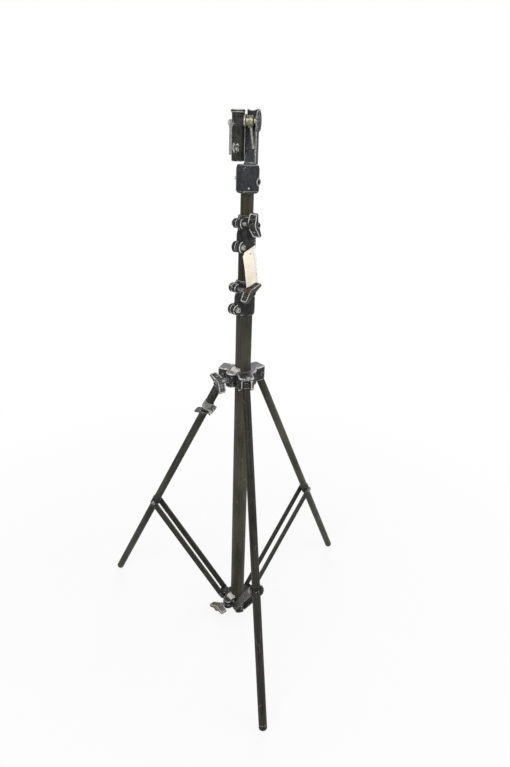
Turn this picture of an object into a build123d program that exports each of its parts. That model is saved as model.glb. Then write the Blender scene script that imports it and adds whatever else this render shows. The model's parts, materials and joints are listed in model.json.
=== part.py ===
"""Heavy telescopic three-leg stand with two risers, a tilting boom head and one levelling leg.

Units are millimetres.  The origin is on the floor under the column's axis, +Z is up and the
front leg points along -Y.  Sub-parts that repeat on the legs are built once in a local frame
and turned to each leg's azimuth.
"""
import os
from math import atan2, cos, degrees, hypot, radians, sin

from build123d import *

# ---------------------------------------------------------------- clearances
RUNNING_FIT = 0.08              # radial, on tubes and pins that slide or turn
SIDE_PLAY = 0.2                 # between flat faces that turn past each other
BUSH_FIT = 0.1                  # radial, of the plastic bushes
NESTING_GAP = 1.0               # radial, between a tube and the riser inside it

# ---------------------------------------------------------------- tubes
COLUMN_OD = 40.0
RISER_WALL = 1.5
RISER_OD = COLUMN_OD - 2 * (RISER_WALL + NESTING_GAP)
TOP_RISER_OD = RISER_OD - 2 * (RISER_WALL + NESTING_GAP)
LEG_OD = 21.0
LEG_WALL = 1.3
COLUMN_BOTTOM = 10.0
RISER_BOTTOM = 130.0
TOP_RISER_BOTTOM = 240.0
FLOOR_FLAT = 0.8                # depth of the worn flat under each foot

# ---------------------------------------------------------------- stance and linkage
LEG_NAMES = ("front", "right", "left")
FIRST_LEG_AZIMUTH = -90.0
LEG_AZIMUTHS = {name: FIRST_LEG_AZIMUTH + 120 * place for place, name in enumerate(LEG_NAMES)}
KNOB_AZIMUTH = -150.0           # clamp knobs of the leg yoke and the base collar
SPREAD = 25.7                   # leg axis from the vertical, degrees
HINGE_RADIUS = 47.6             # leg hinge pins from the column axis
HINGE_HEIGHT = 779.4
STRUT_STATION = 517.5           # strut joint on the leg, measured from the hinge
BASE_BOTTOM = 8.0
BASE_PIVOT_RADIUS = 48.0
BASE_PIVOT_HEIGHT = BASE_BOTTOM + 19.3

# ---------------------------------------------------------------- tube collars
COLLAR_HEIGHT = 86.0
COLUMN_COLLAR_BOTTOM = 944.0
COLLAR_SPACING = 64.0           # between the two collars at rest
RISER_COLLAR_BOTTOM = COLUMN_COLLAR_BOTTOM + COLLAR_HEIGHT + COLLAR_SPACING
COLLAR_SEAT = 42.0              # depth of the lower tube in its collar
COLLAR_WALL = 5.0
COLUMN_BOLT_AZIMUTH = -56.0
RISER_BOLT_AZIMUTH = -40.0
EAR_BACK = -17.0                # ears' two outer faces, along the clamp bolt
EAR_FRONT = 6.0
EAR_SLIT = 3.0
UPPER_EAR_RADIUS = 11.0
LOWER_EAR_RADIUS = 13.0
UPPER_EAR_DROP = 17.0           # below the collar's top
LOWER_EAR_RISE = 16.0           # above the collar's bottom
CLAMP_BOLT_RADIUS = 3.9
SHANK_RADIUS = 5.0
SHANK_END = 29.7
HEX_HEAD = 3.5                  # height of the bolt heads behind the ears
SPOT_FACE_RADIUS = 7.4          # room for the ring screw's washer

# ---------------------------------------------------------------- wing knobs
KNOB_LENGTH = 57.0
KNOB_END_WIDTH = 23.0
KNOB_WAIST = 15.0
KNOB_SWEEP = 5.0                # how far the wing tips lean away from the hub
KNOB_START = 3.0                # hub that stands clear of the wings
KNOB_DEPTH = 13.0
KNOB_RIM = 2.4
KNOB_FLOOR = 2.6
KNOB_HUB_RADIUS = 8.0
KNOB_BORE = 11.0                # depth of the bolt in a collar's knob

# ---------------------------------------------------------------- leg yoke and base collar
LEG_SLOT = LEG_OD + 0.6         # slot round a leg's hinge eye
YOKE_BOTTOM = HINGE_HEIGHT - 19.4
YOKE_TOP = HINGE_HEIGHT + 19.1
YOKE_LUG_WIDTH = 39.0
YOKE_LUG_REACH = HINGE_RADIUS + 14.4
YOKE_LUG_CORNER = 7.0           # in plan
YOKE_LUG_HEEL = 12.0            # round of a lug's lower outer edge
YOKE_TOP_PLATE = 8.9
STRUT_SLEEVE_RADIUS = LEG_OD / 2 + 2.2
BASE_TOP = BASE_BOTTOM + 28.0
BASE_LUG_WIDTH = 2 * STRUT_SLEEVE_RADIUS + 0.6
BASE_LUG_REACH = BASE_PIVOT_RADIUS + 9.0
BASE_LUG_CORNER = 11.0
BASE_LUG_HEEL = 6.0
LUG_BROW = 4.5                  # round of a lug's upper outer edge
CORE_RADIUS = COLUMN_OD / 2 + 16.0
PAD_BACK = COLUMN_OD / 2 + 13.0
PAD_WIDTH = 20.0
PAD_PROUD = 7.0                 # clamp pad above its casting
BOSS_RADIUS = 15.0
BOSS_REACH = PAD_BACK + 18.0
PIN_RADIUS = 4.0
PIN_HEAD_RADIUS = 6.5
PIN_HEAD = 3.0
CLAMP_SCREW_RADIUS = 5.0
KNOB_SEAT = BOSS_REACH + 9.0    # hub of a clamp knob from the column axis

# ---------------------------------------------------------------- legs and struts
EYE_RADIUS = 9.5
LEG_TUBE_START = 14.0
LEG_SPIGOT = 14.0
TIP_ROUND = 6.0
TIP_LENGTH = 14.0
STRUT_WIDTH = 20.0
STRUT_THICKNESS = 3.0
STRUT_SLEEVE_LENGTH = 26.0

# ---------------------------------------------------------------- levelling leg
GUIDE_OD = LEG_OD + 2.4
GUIDE_START = 28.0
GUIDE_END = 125.0
LEVELLING_TUBE_START = 44.0
LOCK_COLLAR_LENGTH = 22.0
LOCK_COLLAR_RADIUS = GUIDE_OD / 2 + 2.3
LOCK_EAR = 2.6                  # thickness of the ears that carry the lock plate
PLATE_TILT = 28.0
PLATE_CLEARANCE = 3.0           # from the lock collar down to the plate at its pivot
PLATE_PIVOT_OFFSET = 19.0
PLATE_THICKNESS = 3.0
PLATE_WIDTH = 28.0
PLATE_TAB = 12.0
PLATE_HOLE_SHORT = LEG_OD / 2 + 0.8
PLATE_HOLE_LONG = LEG_OD / 2 + 3.7
PLATE_PIN_RADIUS = 2.5

# ---------------------------------------------------------------- boom head
HEAD_YAW = -22.0                # azimuth of the tilt axis
HEAD_RISE = 47.0                # socket above the riser collar at rest
SOCKET_BOTTOM = RISER_COLLAR_BOTTOM + COLLAR_HEIGHT + HEAD_RISE
SOCKET_TOP = SOCKET_BOTTOM + 60.0
SOCKET_RADIUS = 26.0
SOCKET_SEAT = 38.0
SET_SCREW_RADIUS = 5.0
TILT_HEIGHT = SOCKET_TOP + 87.0
SLEEVE_OFFSET = -24.6           # boom sleeve axis from the column axis
SLEEVE_OD = 26.0
SLEEVE_BORE = 20.4
SLEEVE_TOP = TILT_HEIGHT + 22.0
SLEEVE_LENGTH = 104.0
SLEEVE_RIM = 7.5
SLEEVE_RIM_PROUD = 2.8
FLANGE_THICKNESS = 4.1          # stiffening flange beside the sleeve
FLANGE_BACK = 21.5
SHOE_THICKNESS = 4.4
SHOE_WIDTH = 13.0
SHOE_DROP = 69.0                # shoe's lower end below the tilt axis
SHOE_RISE = 2.0
SHOE_SCREW_RADIUS = 6.0
SHOE_SCREW_DROP = 5.0
BOSS_FACE = SLEEVE_OFFSET + SLEEVE_OD / 2 + 3.2
STUD_RADIUS = 4.5
STUD_ROOT = 1.6                 # depth of the stud in the sleeve's boss
STUD_END = 2.0                  # stud beyond the disc
SLEEVE_BOSS_RADIUS = 12.4
WASHER_RADIUS = 12.0
WASHER_THICKNESS = 1.8
HUB_RADIUS = 10.5
HUB_LENGTH = 24.2
HUB_BARREL = 18.4               # length of the hub's full diameter
HUB_NOSE_RADIUS = 7.0
HUB_BOSS_RADIUS = 6.0
HANDLE_RADIUS = 3.6
HANDLE_LENGTH = 57.0
HANDLE_ROOT = 5.9               # inner end of the handle, in the hub's wall
HANDLE_CRANK = 7.0              # lean of the handle along the tilt axis
HANDLE_TURN = 10.0              # turn of the hub at rest
HUB_START = BOSS_FACE + WASHER_THICKNESS + SIDE_PLAY
CHEEK_INNER = HUB_START + HUB_LENGTH + SIDE_PLAY
CHEEK_THICKNESS = 3.0
CHEEK_OUTER = CHEEK_INNER + CHEEK_THICKNESS
CHEEK_RADIUS = 20.0
ARM_INNER = HUB_START + HUB_BARREL + 2.6
ARM_THICKNESS = 4.0
ARM_FRONT = -8.0
ARM_TOP = TILT_HEIGHT - 12.0
WEB_LEFT = BOSS_FACE + 0.8
WEB_FRONT = 15.5
WEB_THICKNESS = 4.5
WEB_TOP = TILT_HEIGHT + 24.0
SADDLE_RADIUS = 20.0
SADDLE_DIP = 3.0
DISC_RADIUS = 20.8
DISC_THICKNESS = 2.4

# ---------------------------------------------------------------- paper tag
TAG_WIDTH = 35.0
TAG_LENGTH = 98.0
TAG_THICKNESS = 0.5
TAG_TOP = RISER_COLLAR_BOTTOM + 17.5
TAG_AZIMUTH = -75.0
TAG_SHIFT = -3.0
TAG_TURN = 8.0

BASE = (Align.CENTER, Align.CENTER, Align.MIN)


# ================================================================ small helpers
def rod(radius, start, end):
    """Cylinder along Z from start to end."""
    return Pos(0, 0, start) * Cylinder(radius, end - start, align=BASE)


def rod_x(radius, start, end):
    return Rot(0, 90, 0) * rod(radius, start, end)


def rod_y(radius, start, end):
    return Rot(-90, 0, 0) * rod(radius, start, end)


def tube(outer, inner, start, end):
    return rod(outer, start, end) - rod(inner, start - 1, end + 1)


def slab(x, y, z):
    """Box from its three (low, high) pairs."""
    size = [pair[1] - pair[0] for pair in (x, y, z)]
    middle = [(pair[1] + pair[0]) / 2 for pair in (x, y, z)]
    return Pos(*middle) * Box(*size)


def turned(points):
    """Solid of revolution about Z from its (radius, height) outline."""
    face = make_face(Polyline(*[(r, 0, z) for r, z in points], close=True))
    return revolve(face, Axis.Z)


def hexagon_x(across, start, end):
    """Hexagonal bar along X."""
    flat = RegularPolygon(across / 2, 6, major_radius=False)
    return Rot(0, 90, 0) * Pos(0, 0, start) * extrude(flat, end - start)


def around(azimuth):
    return Rot(0, 0, azimuth)


def leg_frame(name):
    """Leg frame: hinge at the origin, leg along -Z, +X outward."""
    return around(LEG_AZIMUTHS[name]) * Pos(HINGE_RADIUS, 0, HINGE_HEIGHT) * Rot(0, -SPREAD, 0)


def strut_geometry():
    """Length of a strut between its pivots, and its lean from the vertical."""
    lean = radians(SPREAD)
    out = HINGE_RADIUS + STRUT_STATION * sin(lean) - BASE_PIVOT_RADIUS
    up = HINGE_HEIGHT - STRUT_STATION * cos(lean) - BASE_PIVOT_HEIGHT
    return hypot(out, up), degrees(atan2(out, up))


def strut_frame(name):
    """Strut frame: base pivot at the origin, strut along +Z."""
    lean = strut_geometry()[1]
    pivot = Pos(BASE_PIVOT_RADIUS, 0, BASE_PIVOT_HEIGHT)
    return around(LEG_AZIMUTHS[name]) * pivot * Rot(0, lean, 0)


def leg_end():
    """Length of a leg from its hinge to the middle of its tip."""
    lean = radians(SPREAD)
    rim = (LEG_OD / 2 - TIP_ROUND) * sin(lean)
    return (HINGE_HEIGHT - rim - TIP_ROUND + FLOOR_FLAT) / cos(lean) + TIP_ROUND


# ================================================================ tubes and bushes
def column_tube():
    top = COLUMN_COLLAR_BOTTOM + COLLAR_SEAT
    return tube(COLUMN_OD / 2, COLUMN_OD / 2 - RISER_WALL, COLUMN_BOTTOM, top)


def column_plug():
    flange = 6.0
    spigot = 20.0
    body = rod(COLUMN_OD / 2 - RISER_WALL, COLUMN_BOTTOM, COLUMN_BOTTOM + spigot)
    foot = rod(COLUMN_OD / 2, COLUMN_BOTTOM - flange, COLUMN_BOTTOM)
    return chamfer(foot.edges().sort_by(Axis.Z)[0], 1.5) + body


def riser_tube(outer_diameter, bottom, top):
    return tube(outer_diameter / 2, outer_diameter / 2 - RISER_WALL, bottom, top)


def riser_bush(outside_diameter, bottom, guide_diameter):
    """Plastic guide on a riser's lower end, running in the tube around it."""
    guide = guide_diameter / 2 - RISER_WALL - BUSH_FIT
    head = rod(guide, bottom - 12, bottom)
    spigot = rod(outside_diameter / 2 - RISER_WALL, bottom, bottom + 25)
    bore = rod(outside_diameter / 2 - RISER_WALL - 3, bottom - 13, bottom + 26)
    return head + spigot - bore


# ================================================================ tube collars
def ear_distance(lower_diameter):
    return lower_diameter / 2 + CLAMP_BOLT_RADIUS + 4.0


def collar_casting(lower_diameter, upper_diameter):
    """Cast collar: fixed on the lower tube, with a split upper half round the riser."""
    low = lower_diameter / 2 + COLLAR_WALL
    high = upper_diameter / 2 + COLLAR_WALL
    waist = COLLAR_SEAT + 10
    body = turned([(0, 0), (low - 3, 0), (low, 4), (low, COLLAR_SEAT), (high, waist),
                   (high, COLLAR_HEIGHT - 3), (high - 2, COLLAR_HEIGHT), (0, COLLAR_HEIGHT)])
    away = ear_distance(lower_diameter)
    for height, radius in ((COLLAR_HEIGHT - UPPER_EAR_DROP, UPPER_EAR_RADIUS),
                           (LOWER_EAR_RISE, LOWER_EAR_RADIUS)):
        ear = Pos(0, -away, height) * rod_x(radius, EAR_BACK, EAR_FRONT)
        ear = fillet(ear.edges(), 1.5)
        cheek = slab((EAR_BACK + 1.5, EAR_FRONT - 1.5), (-away, 0), (height - radius, height + radius))
        body += ear + cheek
    rib = slab((-2.5, 2.5), (0, low + 3), (6, COLLAR_SEAT + 4))
    body += rib
    body -= rod(lower_diameter / 2, -1, COLLAR_SEAT)
    body -= rod(upper_diameter / 2 + RUNNING_FIT, COLLAR_SEAT - 1, COLLAR_HEIGHT + 1)
    middle = (EAR_BACK + EAR_FRONT) / 2
    slit = (middle - EAR_SLIT / 2, middle + EAR_SLIT / 2)
    front = (-away - 2 * LOWER_EAR_RADIUS, -upper_diameter / 4)
    body -= slab(slit, front, (waist, COLLAR_HEIGHT + 1))
    body -= slab(slit, front, (-1, LOWER_EAR_RISE + LOWER_EAR_RADIUS + 1))
    for height in (COLLAR_HEIGHT - UPPER_EAR_DROP, LOWER_EAR_RISE):
        body -= Pos(0, -away, height) * rod_x(CLAMP_BOLT_RADIUS, EAR_BACK - 1, EAR_FRONT + 1)
        body -= Pos(0, -away, height) * rod_x(SPOT_FACE_RADIUS, EAR_FRONT, low)
    return body


def collar_bolt(lower_diameter):
    """Clamp bolt of a collar's split half, with its long shank to the knob."""
    bolt = rod_x(CLAMP_BOLT_RADIUS, EAR_BACK, SHANK_END + KNOB_BORE)
    bolt += rod_x(SHANK_RADIUS, EAR_FRONT, SHANK_END)
    bolt += hexagon_x(13, EAR_BACK - HEX_HEAD, EAR_BACK)
    height = COLLAR_HEIGHT - UPPER_EAR_DROP
    return Pos(0, -ear_distance(lower_diameter), height) * bolt


def collar_screw(lower_diameter):
    """Socket screw, washer and nut that fix a collar on its lower tube."""
    screw = rod_x(CLAMP_BOLT_RADIUS, EAR_BACK - HEX_HEAD, EAR_FRONT + 1)
    screw += rod_x(SPOT_FACE_RADIUS - 0.4, EAR_FRONT, EAR_FRONT + 1.5)
    screw += rod_x(5.5, EAR_FRONT + 1, EAR_FRONT + 5)
    screw += hexagon_x(12, EAR_BACK - HEX_HEAD, EAR_BACK)
    screw -= hexagon_x(5, EAR_FRONT + 2, EAR_FRONT + 6)
    return Pos(0, -ear_distance(lower_diameter), LOWER_EAR_RISE) * screw


def collar_frame(bottom, azimuth):
    return Pos(0, 0, bottom) * around(azimuth)


# ================================================================ wing knobs
def wing_plan(inset):
    """Bow-tie outline of a wing knob, seen along its axis."""
    half = KNOB_LENGTH / 2 - inset
    end = KNOB_END_WIDTH / 2 - inset
    waist = KNOB_WAIST / 2 - inset
    outline = Polyline((-half, -end), (0, -waist), (half, -end),
                       (half, end), (0, waist), (-half, end), close=True)
    face = make_face(outline)
    corners = [v for v in face.vertices() if abs(v.X) > half / 2]
    return fillet(corners, 6.0 - inset)


def wing_bend(height, depth):
    """Slab bent to the knob's shallow V, with its underside at the given height."""
    half = KNOB_LENGTH / 2 + 1
    outline = Polyline((-half, height + KNOB_SWEEP), (0, height), (half, height + KNOB_SWEEP),
                       (half, height + KNOB_SWEEP + depth), (0, height + depth),
                       (-half, height + KNOB_SWEEP + depth), close=True)
    return extrude(Plane.XZ * make_face(outline), KNOB_END_WIDTH / 2 + 1, both=True)


def wing_knob(bore_radius, bore_depth):
    """Cast wing knob on +Z: hub at the origin, wings swept outward and hollow behind."""
    mouth = KNOB_START - KNOB_FLOOR
    tall = KNOB_START + KNOB_DEPTH + KNOB_SWEEP + 5
    body = wing_bend(KNOB_START, KNOB_DEPTH) & extrude(wing_plan(0), tall)
    body -= wing_bend(mouth, KNOB_DEPTH) & extrude(wing_plan(KNOB_RIM), tall)
    back = KNOB_START + KNOB_DEPTH - 0.5
    body += turned([(0, 0), (KNOB_HUB_RADIUS - 1, 0), (KNOB_HUB_RADIUS, 1.5),
                    (KNOB_HUB_RADIUS, back), (0, back)])
    return body - rod(bore_radius, -1, bore_depth)


def collar_knob(lower_diameter, turn):
    """Knob on a collar's clamp bolt, turned about the bolt."""
    place = Pos(SHANK_END + 0.3, -ear_distance(lower_diameter), COLLAR_HEIGHT - UPPER_EAR_DROP)
    knob = wing_knob(CLAMP_BOLT_RADIUS + RUNNING_FIT, KNOB_BORE)
    return place * Rot(0, 90, 0) * around(turn) * knob


# ================================================================ leg yoke and base collar
def round_waste(reach, height, radius, upward):
    """What a lug's outer edge loses when it is rounded; upward is 1 for its top and -1 for its foot."""
    inner = reach - radius
    level = height - upward * radius
    corner = slab((inner, reach + 1), (-reach, reach), sorted((level, height + upward)))
    return corner - Pos(inner, 0, level) * rod_y(radius, -reach - 1, reach + 1)


def lobed_plate(lug_width, lug_reach, corner, heel, bottom, top):
    """Three-lobed casting body round the column, with a lobe for its clamp screw."""
    plan = Sketch() + Circle(CORE_RADIUS)
    for azimuth in LEG_AZIMUTHS.values():
        lug = Pos(lug_reach / 2, 0) * RectangleRounded(lug_reach, lug_width, corner)
        plan += around(azimuth) * lug
    middle = BOSS_REACH - BOSS_RADIUS
    boss = Pos(middle / 2, 0) * Rectangle(middle, 2 * BOSS_RADIUS) + Pos(middle, 0) * Circle(BOSS_RADIUS)
    plan += around(KNOB_AZIMUTH) * boss
    body = extrude(Pos(0, 0, bottom) * plan, top - bottom)
    body = chamfer(body.edges().group_by(Axis.Z)[-1], 1.8)
    for azimuth in LEG_AZIMUTHS.values():
        body -= around(azimuth) * round_waste(lug_reach, top, LUG_BROW, 1)
        body -= around(azimuth) * round_waste(lug_reach, bottom, heel, -1)
    return body


def pad_pocket(bottom, top):
    half = PAD_WIDTH / 2 + SIDE_PLAY
    pocket = slab((0, PAD_BACK + 0.3), (-half, half), (bottom + 4, top + 1))
    return around(KNOB_AZIMUTH) * pocket


def clamp_pad(bottom, top):
    """Nylon pad between the clamp screw and the column, standing proud of its casting."""
    half = PAD_WIDTH / 2
    pad = slab((0, PAD_BACK), (-half, half), (bottom + 4, top + PAD_PROUD))
    outer = pad.edges().group_by(Axis.X)[-1].sort_by(Axis.Z)[-1]
    pad = chamfer(outer, 5.5)
    return around(KNOB_AZIMUTH) * (pad - rod(COLUMN_OD / 2 + BUSH_FIT, bottom, top + 2 * PAD_PROUD))


def clamp_hole(middle):
    hole = rod_x(CLAMP_SCREW_RADIUS + RUNNING_FIT, PAD_BACK - 2, BOSS_REACH + 2)
    return around(KNOB_AZIMUTH) * Pos(0, 0, middle) * hole


def clamp_screw(middle):
    screw = rod_x(CLAMP_SCREW_RADIUS, PAD_BACK + 0.5, KNOB_SEAT)
    screw += rod_x(CLAMP_SCREW_RADIUS + 2, KNOB_SEAT - 4, KNOB_SEAT)
    return around(KNOB_AZIMUTH) * Pos(0, 0, middle) * screw


def clamp_knob(middle, turn):
    place = around(KNOB_AZIMUTH) * Pos(KNOB_SEAT, 0, middle)
    return place * Rot(0, 90, 0) * around(turn) * wing_knob(3.0, 3.0)


def leg_yoke():
    """Sliding casting that carries the legs' hinges."""
    body = lobed_plate(YOKE_LUG_WIDTH, YOKE_LUG_REACH, YOKE_LUG_CORNER, YOKE_LUG_HEEL,
                       YOKE_BOTTOM, YOKE_TOP)
    half = LEG_SLOT / 2
    slot = slab((CORE_RADIUS + 0.3, YOKE_LUG_REACH + 5), (-half, half),
                (YOKE_BOTTOM - 1, YOKE_TOP - YOKE_TOP_PLATE))
    hole = Pos(HINGE_RADIUS, 0, HINGE_HEIGHT) * rod_y(PIN_RADIUS, -YOKE_LUG_WIDTH, YOKE_LUG_WIDTH)
    for azimuth in LEG_AZIMUTHS.values():
        body -= around(azimuth) * (slot + hole)
    body -= rod(COLUMN_OD / 2 + RUNNING_FIT, YOKE_BOTTOM - 1, YOKE_TOP + 1)
    body -= pad_pocket(YOKE_BOTTOM, YOKE_TOP)
    return body - clamp_hole((YOKE_BOTTOM + YOKE_TOP) / 2)


def base_collar():
    """Casting clamped on the column's foot, with the struts' lower pivots."""
    body = lobed_plate(BASE_LUG_WIDTH, BASE_LUG_REACH, BASE_LUG_CORNER, BASE_LUG_HEEL,
                       BASE_BOTTOM, BASE_TOP)
    pivot = Pos(BASE_PIVOT_RADIUS, 0, BASE_PIVOT_HEIGHT)
    hole = pivot * rod_y(PIN_RADIUS, -BASE_LUG_WIDTH, BASE_LUG_WIDTH)
    for azimuth in LEG_AZIMUTHS.values():
        body -= around(azimuth) * hole
    body -= rod(COLUMN_OD / 2, BASE_BOTTOM - 1, BASE_TOP + 1)
    body -= pad_pocket(BASE_BOTTOM, BASE_TOP)
    return body - clamp_hole((BASE_BOTTOM + BASE_TOP) / 2)


def headed_pin(half_grip):
    """Pin along Y with a domed head at each end."""
    pin = rod_y(PIN_RADIUS, -half_grip, half_grip)
    for side in (-1, 1):
        head = Rot(-90 * side, 0, 0) * turned([(0, half_grip), (PIN_HEAD_RADIUS, half_grip),
                                               (PIN_HEAD_RADIUS, half_grip + PIN_HEAD / 2),
                                               (PIN_HEAD_RADIUS - 2, half_grip + PIN_HEAD),
                                               (0, half_grip + PIN_HEAD)])
        pin += head
    return pin


def hinge_pins():
    pin = Pos(HINGE_RADIUS, 0, HINGE_HEIGHT) * headed_pin(YOKE_LUG_WIDTH / 2)
    return Compound([around(azimuth) * pin for azimuth in LEG_AZIMUTHS.values()])


def strut_face():
    """Inner face of a strut bar from its leg's middle plane."""
    return BASE_LUG_WIDTH / 2 + SIDE_PLAY


def base_pins():
    grip = strut_face() + STRUT_THICKNESS + SIDE_PLAY
    pin = Pos(BASE_PIVOT_RADIUS, 0, BASE_PIVOT_HEIGHT) * headed_pin(grip)
    return Compound([around(azimuth) * pin for azimuth in LEG_AZIMUTHS.values()])


# ================================================================ legs
def leg_head(tube_start, tube_bore):
    """Hinge eye and spigot in the top of a leg, whose tube starts below the eye."""
    half = LEG_SLOT / 2 - SIDE_PLAY
    eye = rod_y(EYE_RADIUS, -half, half)
    body = eye + rod(LEG_OD / 2, -tube_start, -2)
    body += rod(tube_bore, -tube_start - LEG_SPIGOT, -tube_start)
    return body - rod_y(PIN_RADIUS + RUNNING_FIT, -half - 1, half + 1)


def leg_tube(start):
    return tube(LEG_OD / 2, LEG_OD / 2 - LEG_WALL, TIP_LENGTH - leg_end(), -start)


def leg_tip():
    """Plastic tip: spigot in the tube, rounded nose with a flat worn by the floor."""
    end = -leg_end()
    nose = rod(LEG_OD / 2, end, end + TIP_LENGTH)
    nose = fillet(nose.edges().sort_by(Axis.Z)[0], TIP_ROUND)
    return nose + rod(LEG_OD / 2 - LEG_WALL, end + TIP_LENGTH, end + TIP_LENGTH + 20)


def floor_block():
    return slab((-HINGE_HEIGHT, HINGE_HEIGHT), (-HINGE_HEIGHT, HINGE_HEIGHT), (-LEG_OD, 0))


def strut_sleeve(radial_fit):
    """Sleeve round a leg at its strut joint."""
    middle = -STRUT_STATION
    half = STRUT_SLEEVE_LENGTH / 2
    outer = turned([(0, middle - half), (STRUT_SLEEVE_RADIUS - 1, middle - half),
                    (STRUT_SLEEVE_RADIUS, middle - half + 2), (STRUT_SLEEVE_RADIUS, middle + half - 2),
                    (STRUT_SLEEVE_RADIUS - 1, middle + half), (0, middle + half)])
    return outer - rod(LEG_OD / 2 + radial_fit, middle - half - 1, middle + half + 1)


def strut_bars():
    """Pair of flat bars, one each side of the leg, with round ends."""
    length = strut_geometry()[0]
    face = strut_face()
    profile = Pos(0, length / 2) * SlotCenterToCenter(length, STRUT_WIDTH, rotation=90)
    profile -= Circle(PIN_RADIUS + RUNNING_FIT)
    profile -= Pos(0, length) * Circle(PIN_RADIUS)
    bar = extrude(Plane.XZ * profile, -STRUT_THICKNESS)
    return Compound([Pos(0, face, 0) * bar, Pos(0, -face - STRUT_THICKNESS, 0) * bar])


def strut_screws():
    """Joint screws in the bars' upper ends, flush inside so that they clear the sleeve."""
    length = strut_geometry()[0]
    face = strut_face()
    outer = face + STRUT_THICKNESS
    screw = turned([(0, face), (PIN_RADIUS, face), (PIN_RADIUS, outer), (PIN_HEAD_RADIUS, outer),
                    (PIN_HEAD_RADIUS, outer + 1.5), (PIN_HEAD_RADIUS - 2, outer + PIN_HEAD),
                    (0, outer + PIN_HEAD)])
    place = Pos(0, 0, length)
    return Compound([place * Rot(-90, 0, 0) * screw, place * Rot(90, 0, 0) * screw])


# ================================================================ levelling leg
def guide_bore():
    return LEG_OD / 2 + RUNNING_FIT


def guide_tube():
    return tube(GUIDE_OD / 2, guide_bore(), -GUIDE_END, -GUIDE_START)


def plate_pivot_station():
    return GUIDE_END + PLATE_CLEARANCE


def lock_collar():
    """Cast collar on the guide tube's lower end, with ears that carry the lock plate."""
    grip = GUIDE_OD / 2
    start = LOCK_COLLAR_LENGTH - GUIDE_END
    lip = -GUIDE_END + 8
    body = turned([(0, -GUIDE_END), (LOCK_COLLAR_RADIUS, -GUIDE_END), (LOCK_COLLAR_RADIUS, lip),
                   (grip + 1.2, start), (0, start)])
    half = PLATE_WIDTH / 2 + SIDE_PLAY
    pivot = Pos(-PLATE_PIVOT_OFFSET, 0, -plate_pivot_station())
    back = -PLATE_PIVOT_OFFSET - 3.5
    body += slab((back, -LOCK_COLLAR_RADIUS / 2), (-half - LOCK_EAR, half + LOCK_EAR), (-GUIDE_END + 4, lip))
    for near, far in ((-half - LOCK_EAR, -half), (half, half + LOCK_EAR)):
        body += slab((back, back + 7), (near, far), (-plate_pivot_station(), lip))
        body += pivot * rod_y(3.5, near, far)
    body -= pivot * rod_y(PLATE_PIN_RADIUS, -half - LOCK_EAR - 1, half + LOCK_EAR + 1)
    return body - rod(grip, -GUIDE_END - 1, start + 1)


def lock_plate():
    """Tilted plate that jams on the lower tube, with a finger tab and its pivot pin."""
    reach = PLATE_PIVOT_OFFSET / cos(radians(PLATE_TILT))
    end = reach + PLATE_HOLE_LONG + PLATE_TAB
    outline = Pos(end / 2 - 1.5, 0) * RectangleRounded(end + 3, PLATE_WIDTH, 5)
    hole = Pos(reach, 0) * Ellipse(PLATE_HOLE_LONG, PLATE_HOLE_SHORT)
    plate = extrude(outline - hole, PLATE_THICKNESS / 2, both=True)
    grip = PLATE_WIDTH / 2 + SIDE_PLAY + LOCK_EAR
    pin = rod_y(PLATE_PIN_RADIUS - RUNNING_FIT, -grip, grip)
    place = Pos(-PLATE_PIVOT_OFFSET, 0, -plate_pivot_station()) * Rot(0, PLATE_TILT, 0)
    return place * (plate + pin)


# ================================================================ boom head
def head_frame():
    return around(HEAD_YAW)


def tilt_cheek():
    """Round cheek on the tilt axis, carried by the web behind it and by the arm."""
    back = WEB_FRONT + WEB_THICKNESS
    foot = TILT_HEIGHT - 0.8 * CHEEK_RADIUS
    face = make_face(Polyline((0, foot), (0, TILT_HEIGHT + CHEEK_RADIUS - 0.5),
                              (back, WEB_TOP), (back, foot), close=True))
    face += Pos(0, TILT_HEIGHT) * Circle(CHEEK_RADIUS)
    return Pos(CHEEK_INNER, 0, 0) * extrude(Plane.YZ * face, CHEEK_THICKNESS)


def head_upright():
    """Ramped neck, rear web with its saddle, and the arm that carries the tilt cheek."""
    foot = SOCKET_TOP - 4
    back = WEB_FRONT + WEB_THICKNESS
    outer = ARM_INNER + ARM_THICKNESS
    ramp = make_face(Polyline((ARM_FRONT - 3, foot), (ARM_FRONT - 3, SOCKET_TOP + 4),
                              (WEB_FRONT, SOCKET_TOP + 26), (WEB_FRONT, WEB_TOP),
                              (back, WEB_TOP), (back, foot), close=True))
    body = Pos(WEB_LEFT, 0, 0) * extrude(Plane.YZ * ramp, outer - WEB_LEFT)
    saddle = Pos((WEB_LEFT + ARM_INNER) / 2, 0, WEB_TOP + SADDLE_RADIUS - SADDLE_DIP)
    body -= saddle * rod_y(SADDLE_RADIUS, 0, back + 1)
    body -= slab((WEB_LEFT + 5, ARM_INNER), (back - 1.5, back + 1),
                 (SOCKET_TOP + 18, WEB_TOP - SADDLE_DIP - 6))
    arm = make_face(Polyline((ARM_FRONT - 3, foot), (ARM_FRONT, SOCKET_TOP + 30), (ARM_FRONT, ARM_TOP),
                             (back, ARM_TOP), (back, foot), close=True))
    body += Pos(ARM_INNER, 0, 0) * extrude(Plane.YZ * arm, ARM_THICKNESS)
    return body


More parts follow.
